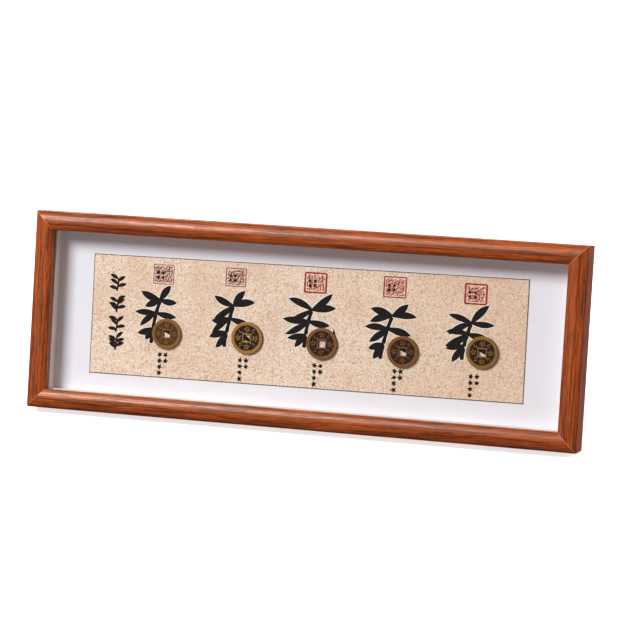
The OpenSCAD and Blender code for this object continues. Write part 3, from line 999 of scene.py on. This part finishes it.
def build_print():
    look = looks().print
    build_sheet(look)
    black = print_ink("black_ink", look.ink, linear(32, 26, 27))
    pale = print_ink("pale_halo", linear(246, 236, 224), look.paper)
    strong = print_ink("seal_red_ink", look.seal_red, look.paper, 0.22)
    faded = print_ink("seal_pink_ink", look.seal_pink, look.paper, 0.22)
    seam = print_ink("panel_seam", look.pattern, look.paper, 0.6)
    body = look.ink_body
    seam_top = SHEET_H / 2 - PANEL_SEAM_END
    seam_line = [(PANEL_SEAM_X, z, PANEL_SEAM_HALF) for z in (-seam_top, seam_top)]
    lay_print([seam_line], "panel_seam_line", seam, body / 2)
    for number, (x, z, width, height) in enumerate(SPRAY_BOXES):
        strokes = bamboo_spray(x * MM, z * MM, width * MM, height * MM, SPRAY_SEED + number)
        lay_print(strokes, f"ink_spray_halo_{number + 1}", pale, body / 2, 0, look.halo)
        lay_print(strokes, f"ink_spray_{number + 1}", black, body, body)
    for number, (x, z, width, height, border, bold) in enumerate(SEAL_BOXES):
        strokes = seal_strokes(x * MM, z * MM, width * MM, height * MM, border * MM, number)
        lay_print(strokes, f"red_seal_{number + 1}", strong if bold else faded, body)
        dots = []
        for dot_x in SEAL_DOT_X:
            for dot_z in SEAL_DOT_Z:
                dots += floret((x + dot_x) * MM, (z + dot_z) * MM, SEAL_DOT_SIZE, number)
        lay_print(dots, f"seal_dots_{number + 1}", black, body, body)
    title = []
    for number, (x, z) in enumerate(TITLE_PLACES):
        title += sprig(x * MM, z * MM, SPRIG_SIZE, number, 5 + number % 2)
    lay_print(title, "title_sprigs", black, body, body)
    captions = []
    for column, x in enumerate(CAPTION_LEFT_X):
        for row, z in enumerate(CAPTION_ROWS):
            captions += floret(x * MM, z * MM, CAPTION_SIZE, 7 * column + row)
            if row < CAPTION_RIGHT_ROWS:
                captions += floret((x + CAPTION_RIGHT_STEP) * MM, z * MM, CAPTION_SIZE, 11 * column + row)
    lay_print(captions, "caption_florets", black, body, body)


# --- coins

HOLE_CORNER = 0.5 * MM
COIN_EDGE = 0.14 * MM
COIN_SEED = 90
RELIEF_RISE = 0.95  # share of the field's depth
RELIEF_GAP = 0.4 * MM  # how much narrower the blossoms are than the field
CORNER_OUT = 0.5 * MM  # how much further out the curls lie than the blossoms


def coin_blank(radius, front, back, look):
    """Disc with a raised rim, a sunk field on both faces and a square hole in a collar."""
    disc = rod(0, 0, radius, front, back, 96)
    with editing(disc):
        for side in (-1, 1):
            pick("FACE", lambda f: f.normal.y * side > 0.9)
            bpy.ops.mesh.inset(thickness=look.rim)
            extrude((0, -side * look.field, 0))
    half = look.hole / 2
    outer = half + look.collar
    combine(disc, block((-outer, front, -outer), (outer, back, outer)), "UNION")
    hole = block((-half, front - CUT_PAST, -half), (half, back + CUT_PAST, half))
    with editing(hole):
        pick("EDGE", lambda e: abs(e.verts[0].co.y - e.verts[1].co.y) > CUT_PAST)
        bpy.ops.mesh.bevel(offset=HOLE_CORNER, segments=3, affect="EDGES")
    combine(disc, hole, "DIFFERENCE")
    soften(disc, COIN_EDGE, 2, 35)
    return disc


def scroll(x, z, radius, start, sweep, half_width):
    """Curl that winds inwards."""
    marks = []
    for step in range(11):
        t = step / 10
        angle = start + sweep * t
        reach = radius * (1 - 0.62 * t)
        marks.append((x + reach * math.cos(angle), z + reach * math.sin(angle), half_width * (1 - 0.3 * t)))
    return marks


def blossom_motif(chance, size, half_width):
    """Generic blossom of five curled petals round a boss, in a box of the given size round 0, 0."""
    strokes = [[(-0.04 * size, 0, half_width), (0.04 * size, 0, half_width)]]
    turn = chance.uniform(0, 1.2)
    for petal in range(5):
        angle = turn + petal * FIFTH_TURN
        reach = 0.35 * size
        x, z = reach * math.cos(angle), reach * math.sin(angle)
        strokes.append(scroll(x, z, 0.2 * size, angle + 2.2, chance.uniform(3.6, 4.6), half_width))
    return strokes


def coin_relief(radius, look, seed):
    """Four blossoms and four pairs of curls between the rim and the collar."""
    chance = random.Random(seed)
    inner = look.hole / 2 + look.collar
    outer = radius - look.rim
    size = outer - inner - RELIEF_GAP
    middle = (inner + outer) / 2
    strokes = []
    for quarter in range(4):
        turn = quarter * math.pi / 2
        offset = Vector((math.cos(turn), math.sin(turn))) * middle
        for stroke in blossom_motif(chance, size, look.relief):
            strokes.append([(x + offset.x, z + offset.y, r) for x, z, r in stroke])
        corner = turn + math.pi / 4
        reach = middle + CORNER_OUT
        x, z = reach * math.cos(corner), reach * math.sin(corner)
        strokes.append(scroll(x, z, 0.27 * size, corner, chance.uniform(4, 6), look.relief))
        x, z = x * 0.66, z * 0.66
        strokes.append(scroll(x, z, 0.14 * size, corner, -chance.uniform(4, 5), look.relief))
    return strokes


def build_coins():
    look = looks().coins
    metals = [
        ("worn_bronze", look.worn_rim, look.worn_field, 0.5, "coin_worn_bronze"),
        ("bright_brass", look.bright_rim, look.bright_field, 0.2, "coin_bright_brass"),
        ("red_bronze", look.red_rim, look.red_field, 0.45, "coin_red_bronze"),
        ("brown_bronze", look.brown_rim, look.brown_field, 0.4, "coin_brown_bronze"),
        ("olive_brass", look.olive_rim, look.olive_field, 0.3, "coin_olive_brass"),
    ]
    to_sheet = ON_SHEET.inverted()
    unlean = Matrix.Rotation(LEAN, 4, "X")
    for number, (name, (metal, high, low, patina, slot)) in enumerate(zip(COINS, metals)):
        low_corner, high_corner = extent(name, to_sheet)
        radius = (high_corner.x - low_corner.x) / 2
        centre = (low_corner + high_corner) / 2
        front, back = low_corner.y, high_corner.y
        coin = coin_blank(radius, front, back, look)
        strokes = coin_relief(radius, look, COIN_SEED + number)
        marks = brush_marks(strokes, RELIEF_RISE * look.field, front + look.field, sides=2)
        coin = join([coin, marks])
        place_mesh(coin, ON_SHEET @ Matrix.Translation((centre.x, 0, centre.z)))
        middle = unlean @ ON_SHEET @ Vector((centre.x, 0, centre.z))
        finish = coin_metal(metal, high, low, middle, front, look.field, patina)
        finish_piece(coin, name + "_struck", [finish], slot, [name])
    softened_node("coin_glue_dots", dried_glue("dried_glue"), "glue", 0.12 * MM, 3)


# --- hardware

HEAD_R = 3.1 * MM
HEAD_GAP = 0.1 * MM  # between a screw's head and its turn button
CROSS_LONG = 1.7 * MM  # half length of the cross recess
CROSS_WIDE = 0.4 * MM  # half width of its arms
CROSS_DEPTH = 0.8 * MM
SHANK_R = 1.5 * MM
SHANK_SINK = 0.2 * MM  # how far the shank reaches into the head
TIP_LENGTH = 2.5 * MM
TIP_TAPER = 0.25
RIVET_EDGE = 0.35 * MM


def pan_screw(x, z, turn, head_front, head_back, tip_y, dome):
    """Pan-head screw with a cross recess, head outwards."""
    head = rod(0, 0, HEAD_R, head_front, head_back)
    with editing(head):
        pick("EDGE", lambda e: all(v.co.y > head_back - TINY for v in e.verts))
        bpy.ops.mesh.bevel(offset=dome, segments=5, affect="EDGES")
    for across, up in ((CROSS_LONG, CROSS_WIDE), (CROSS_WIDE, CROSS_LONG)):
        slot = block((-across, head_back - CROSS_DEPTH, -up), (across, head_back + CUT_PAST, up))
        combine(head, slot, "DIFFERENCE")
    shank = rod(0, 0, SHANK_R, tip_y + TIP_LENGTH, head_front + SHANK_SINK, 32)
    with editing(shank):
        pick("FACE", lambda f: f.normal.y < -0.9)
        extrude((0, -TIP_LENGTH, 0))
        bpy.ops.transform.resize(value=(TIP_TAPER, 1, TIP_TAPER))
    screw = join([head, shank])
    smooth(screw)
    place_mesh(screw, Matrix.Translation((x, 0, z)) @ Matrix.Rotation(turn, 4, "Y"))
    return screw


def build_hardware():
    look = looks().hardware
    plated = sheet_steel("plated_steel", look.plate, 0.3, linear(190, 162, 122))
    dull = sheet_steel("hinge_steel", look.steel, 0.34, linear(120, 116, 110))
    nail = sheet_steel("nail_steel", darker(look.steel, 0.8), 0.4, linear(96, 92, 88))
    screws = []
    chance = random.Random(5)
    low, high = upright_box("turn_button_screws")
    for name in BUTTONS:
        node = "turn_button_" + name
        softened_node(node, plated, "plated_steel", look.edge, 3, node + "_body", node + "_plate")
        x, _, z = UPRIGHT.inverted() @ Vector(joint(node + "_pivot")["pos_m"])
        head_front = upright_box(node)[1].y + HEAD_GAP
        turn = chance.uniform(0, math.pi)
        screws.append(pan_screw(x, z, turn, head_front, high.y, low.y, look.head_dome))
    screw_set = join(screws)
    place_mesh(screw_set, UPRIGHT)
    finish_piece(screw_set, "button_screws", [plated], "plated_steel", ["turn_button_screws"])
    softened_node("hinge_back_leaf", dull, "hinge_steel", look.edge)
    softened_node("hinge_back_rivets", dull, "hinge_steel", RIVET_EDGE, 3)
    softened_node("hinge_pin", dull, "hinge_steel", 0.3 * MM, 3)
    softened_node("hinge_strut_leaf", dull, "hinge_steel", look.edge, body="strut")
    softened_node("hinge_strut_rivets", dull, "hinge_steel", RIVET_EDGE, 3, "strut")
    softened_node("sawtooth_hanger", plated, "plated_steel", 0.12 * MM)
    softened_node("hanger_nails", nail, "nail_steel", 0.25 * MM, 3)
    softened_node("corner_v_nails", nail, "nail_steel", 0.06 * MM, 1)


# --- stage

FLOOR_SIDE = 24  # metres
FILM_WIDTH = 36  # millimetres
SOFT_LIGHTS = {  # azimuth and elevation in degrees, distance and side in metres
    "key_light": (-35, 40, 3.2, 1.2),
    "fill_light": (98, 20, 3.0, 1.0),
    "back_light": (196, 26, 3.6, 1.6),
}


def build_stage():
    look = looks().stage
    deselect_all()
    bpy.ops.mesh.primitive_plane_add(size=FLOOR_SIDE)
    floor = bpy.context.object
    floor.name = "floor"
    floor.data.materials.append(floor_sweep("floor_sweep", look.floor))
    floor.visible_diffuse = False
    floor.visible_glossy = False

    crest = UPRIGHT @ Vector((0, 0, FRAME_H / 2))
    aim = crest + Vector((look.aim_x, look.aim_y, look.aim_z))
    bpy.ops.object.camera_add(**facing(aim, look.azimuth, look.elevation, look.distance))
    camera = bpy.context.object
    camera.data.lens = look.lens
    camera.data.sensor_width = FILM_WIDTH
    bpy.context.scene.camera = camera

    for name, place in SOFT_LIGHTS.items():
        add_soft_light(name, aim, *place, getattr(look, name))
    world = bpy.data.worlds.new("soft_studio")
    world.use_nodes = True
    glow = {"Color": tone(look.ambient_colour), "Strength": look.ambient}
    feed_all(world.node_tree.nodes["Background"], glow)
    bpy.context.scene.world = world
    bpy.context.scene.view_settings.view_transform = "Standard"


def facing(aim, turn, lift, distance):
    """Place and rotation of what looks at aim from in front, turned to the right and lifted."""
    away = Vector((math.sin(turn) * math.cos(lift), -math.cos(turn) * math.cos(lift), math.sin(lift)))
    return {"location": aim + away * distance, "rotation": (math.pi / 2 - lift, 0, turn)}


def add_soft_light(name, aim, azimuth, elevation, distance, side, watts):
    """Square soft light that looks at aim."""
    spot = facing(aim, math.radians(azimuth), math.radians(elevation), distance)
    bpy.ops.object.light_add(type="AREA", **spot)
    light = bpy.context.object
    light.name = name
    light.data.energy = watts
    light.data.size = side


# --- add-on


class CoinFrameLooks(PropertyGroup):
    rails: PointerProperty(type=RailSettings, name="Rails", description="Moulding and its wrap")
    filling: PointerProperty(type=FillingSettings, name="Filling", description="Glass, boards and back")
    print: PointerProperty(type=PrintSettings, name="Print", description="Printed sheet")
    coins: PointerProperty(type=CoinSettings, name="Coins", description="The five coins")
    hardware: PointerProperty(type=HardwareSettings, name="Hardware", description="Metal fittings")
    stage: PointerProperty(type=StageSettings, name="Stage", description="Floor, light and camera")


class COINFRAME_OT_stage(Operator):
    """Adds the floor, the light and the camera"""

    bl_idname = "coinframe.stage"
    bl_label = "Stage"

    def execute(self, context):
        build_stage()
        return {"FINISHED"}


class COINFRAME_OT_rails(Operator):
    """Builds the four wrapped rails"""

    bl_idname = "coinframe.rails"
    bl_label = "Rails"

    def execute(self, context):
        build_rails()
        return {"FINISHED"}


class COINFRAME_OT_filling(Operator):
    """Builds the glass, the spacers and the mount board"""

    bl_idname = "coinframe.filling"
    bl_label = "Glass and mount"

    def execute(self, context):
        build_filling()
        return {"FINISHED"}


class COINFRAME_OT_print(Operator):
    """Builds the printed sheet and its marks"""

    bl_idname = "coinframe.print"
    bl_label = "Printed sheet"

    def execute(self, context):
        build_print()
        return {"FINISHED"}


class COINFRAME_OT_coins(Operator):
    """Builds the five coins and their glue dots"""

    bl_idname = "coinframe.coins"
    bl_label = "Coins"

    def execute(self, context):
        build_coins()
        return {"FINISHED"}


class COINFRAME_OT_back(Operator):
    """Builds the back board and the strut"""

    bl_idname = "coinframe.back"
    bl_label = "Back and strut"

    def execute(self, context):
        build_back()
        return {"FINISHED"}


class COINFRAME_OT_hardware(Operator):
    """Builds the turn buttons, screws, hinge, hanger and nails"""

    bl_idname = "coinframe.hardware"
    bl_label = "Hardware"

    def execute(self, context):
        build_hardware()
        return {"FINISHED"}


STEPS = (
    COINFRAME_OT_stage,
    COINFRAME_OT_rails,
    COINFRAME_OT_filling,
    COINFRAME_OT_print,
    COINFRAME_OT_coins,
    COINFRAME_OT_back,
    COINFRAME_OT_hardware,
)


class COINFRAME_PT_panel(Panel):
    """Lists the steps that build the coin frame"""

    bl_idname = "COINFRAME_PT_panel"
    bl_label = "Coin Frame"
    bl_space_type = "VIEW_3D"
    bl_region_type = "UI"
    bl_category = "Coin Frame"

    def draw(self, context):
        for step in STEPS:
            self.layout.operator(step.bl_idname)


CLASSES = (
    RailSettings,
    FillingSettings,
    PrintSettings,
    CoinSettings,
    HardwareSettings,
    StageSettings,
    CoinFrameLooks,
    *STEPS,
    COINFRAME_PT_panel,
)


def register():
    for cls in CLASSES:
        bpy.utils.register_class(cls)
    bpy.types.Scene.coin_frame_looks = PointerProperty(type=CoinFrameLooks)


def unregister():
    del bpy.types.Scene.coin_frame_looks
    for cls in reversed(CLASSES):
        bpy.utils.unregister_class(cls)


def main():
    register()
    bpy.ops.coinframe.stage()
    bpy.ops.coinframe.rails()
    bpy.ops.coinframe.filling()
    bpy.ops.coinframe.print()
    bpy.ops.coinframe.coins()
    bpy.ops.coinframe.back()
    bpy.ops.coinframe.hardware()


if __name__ == "__main__":
    main()
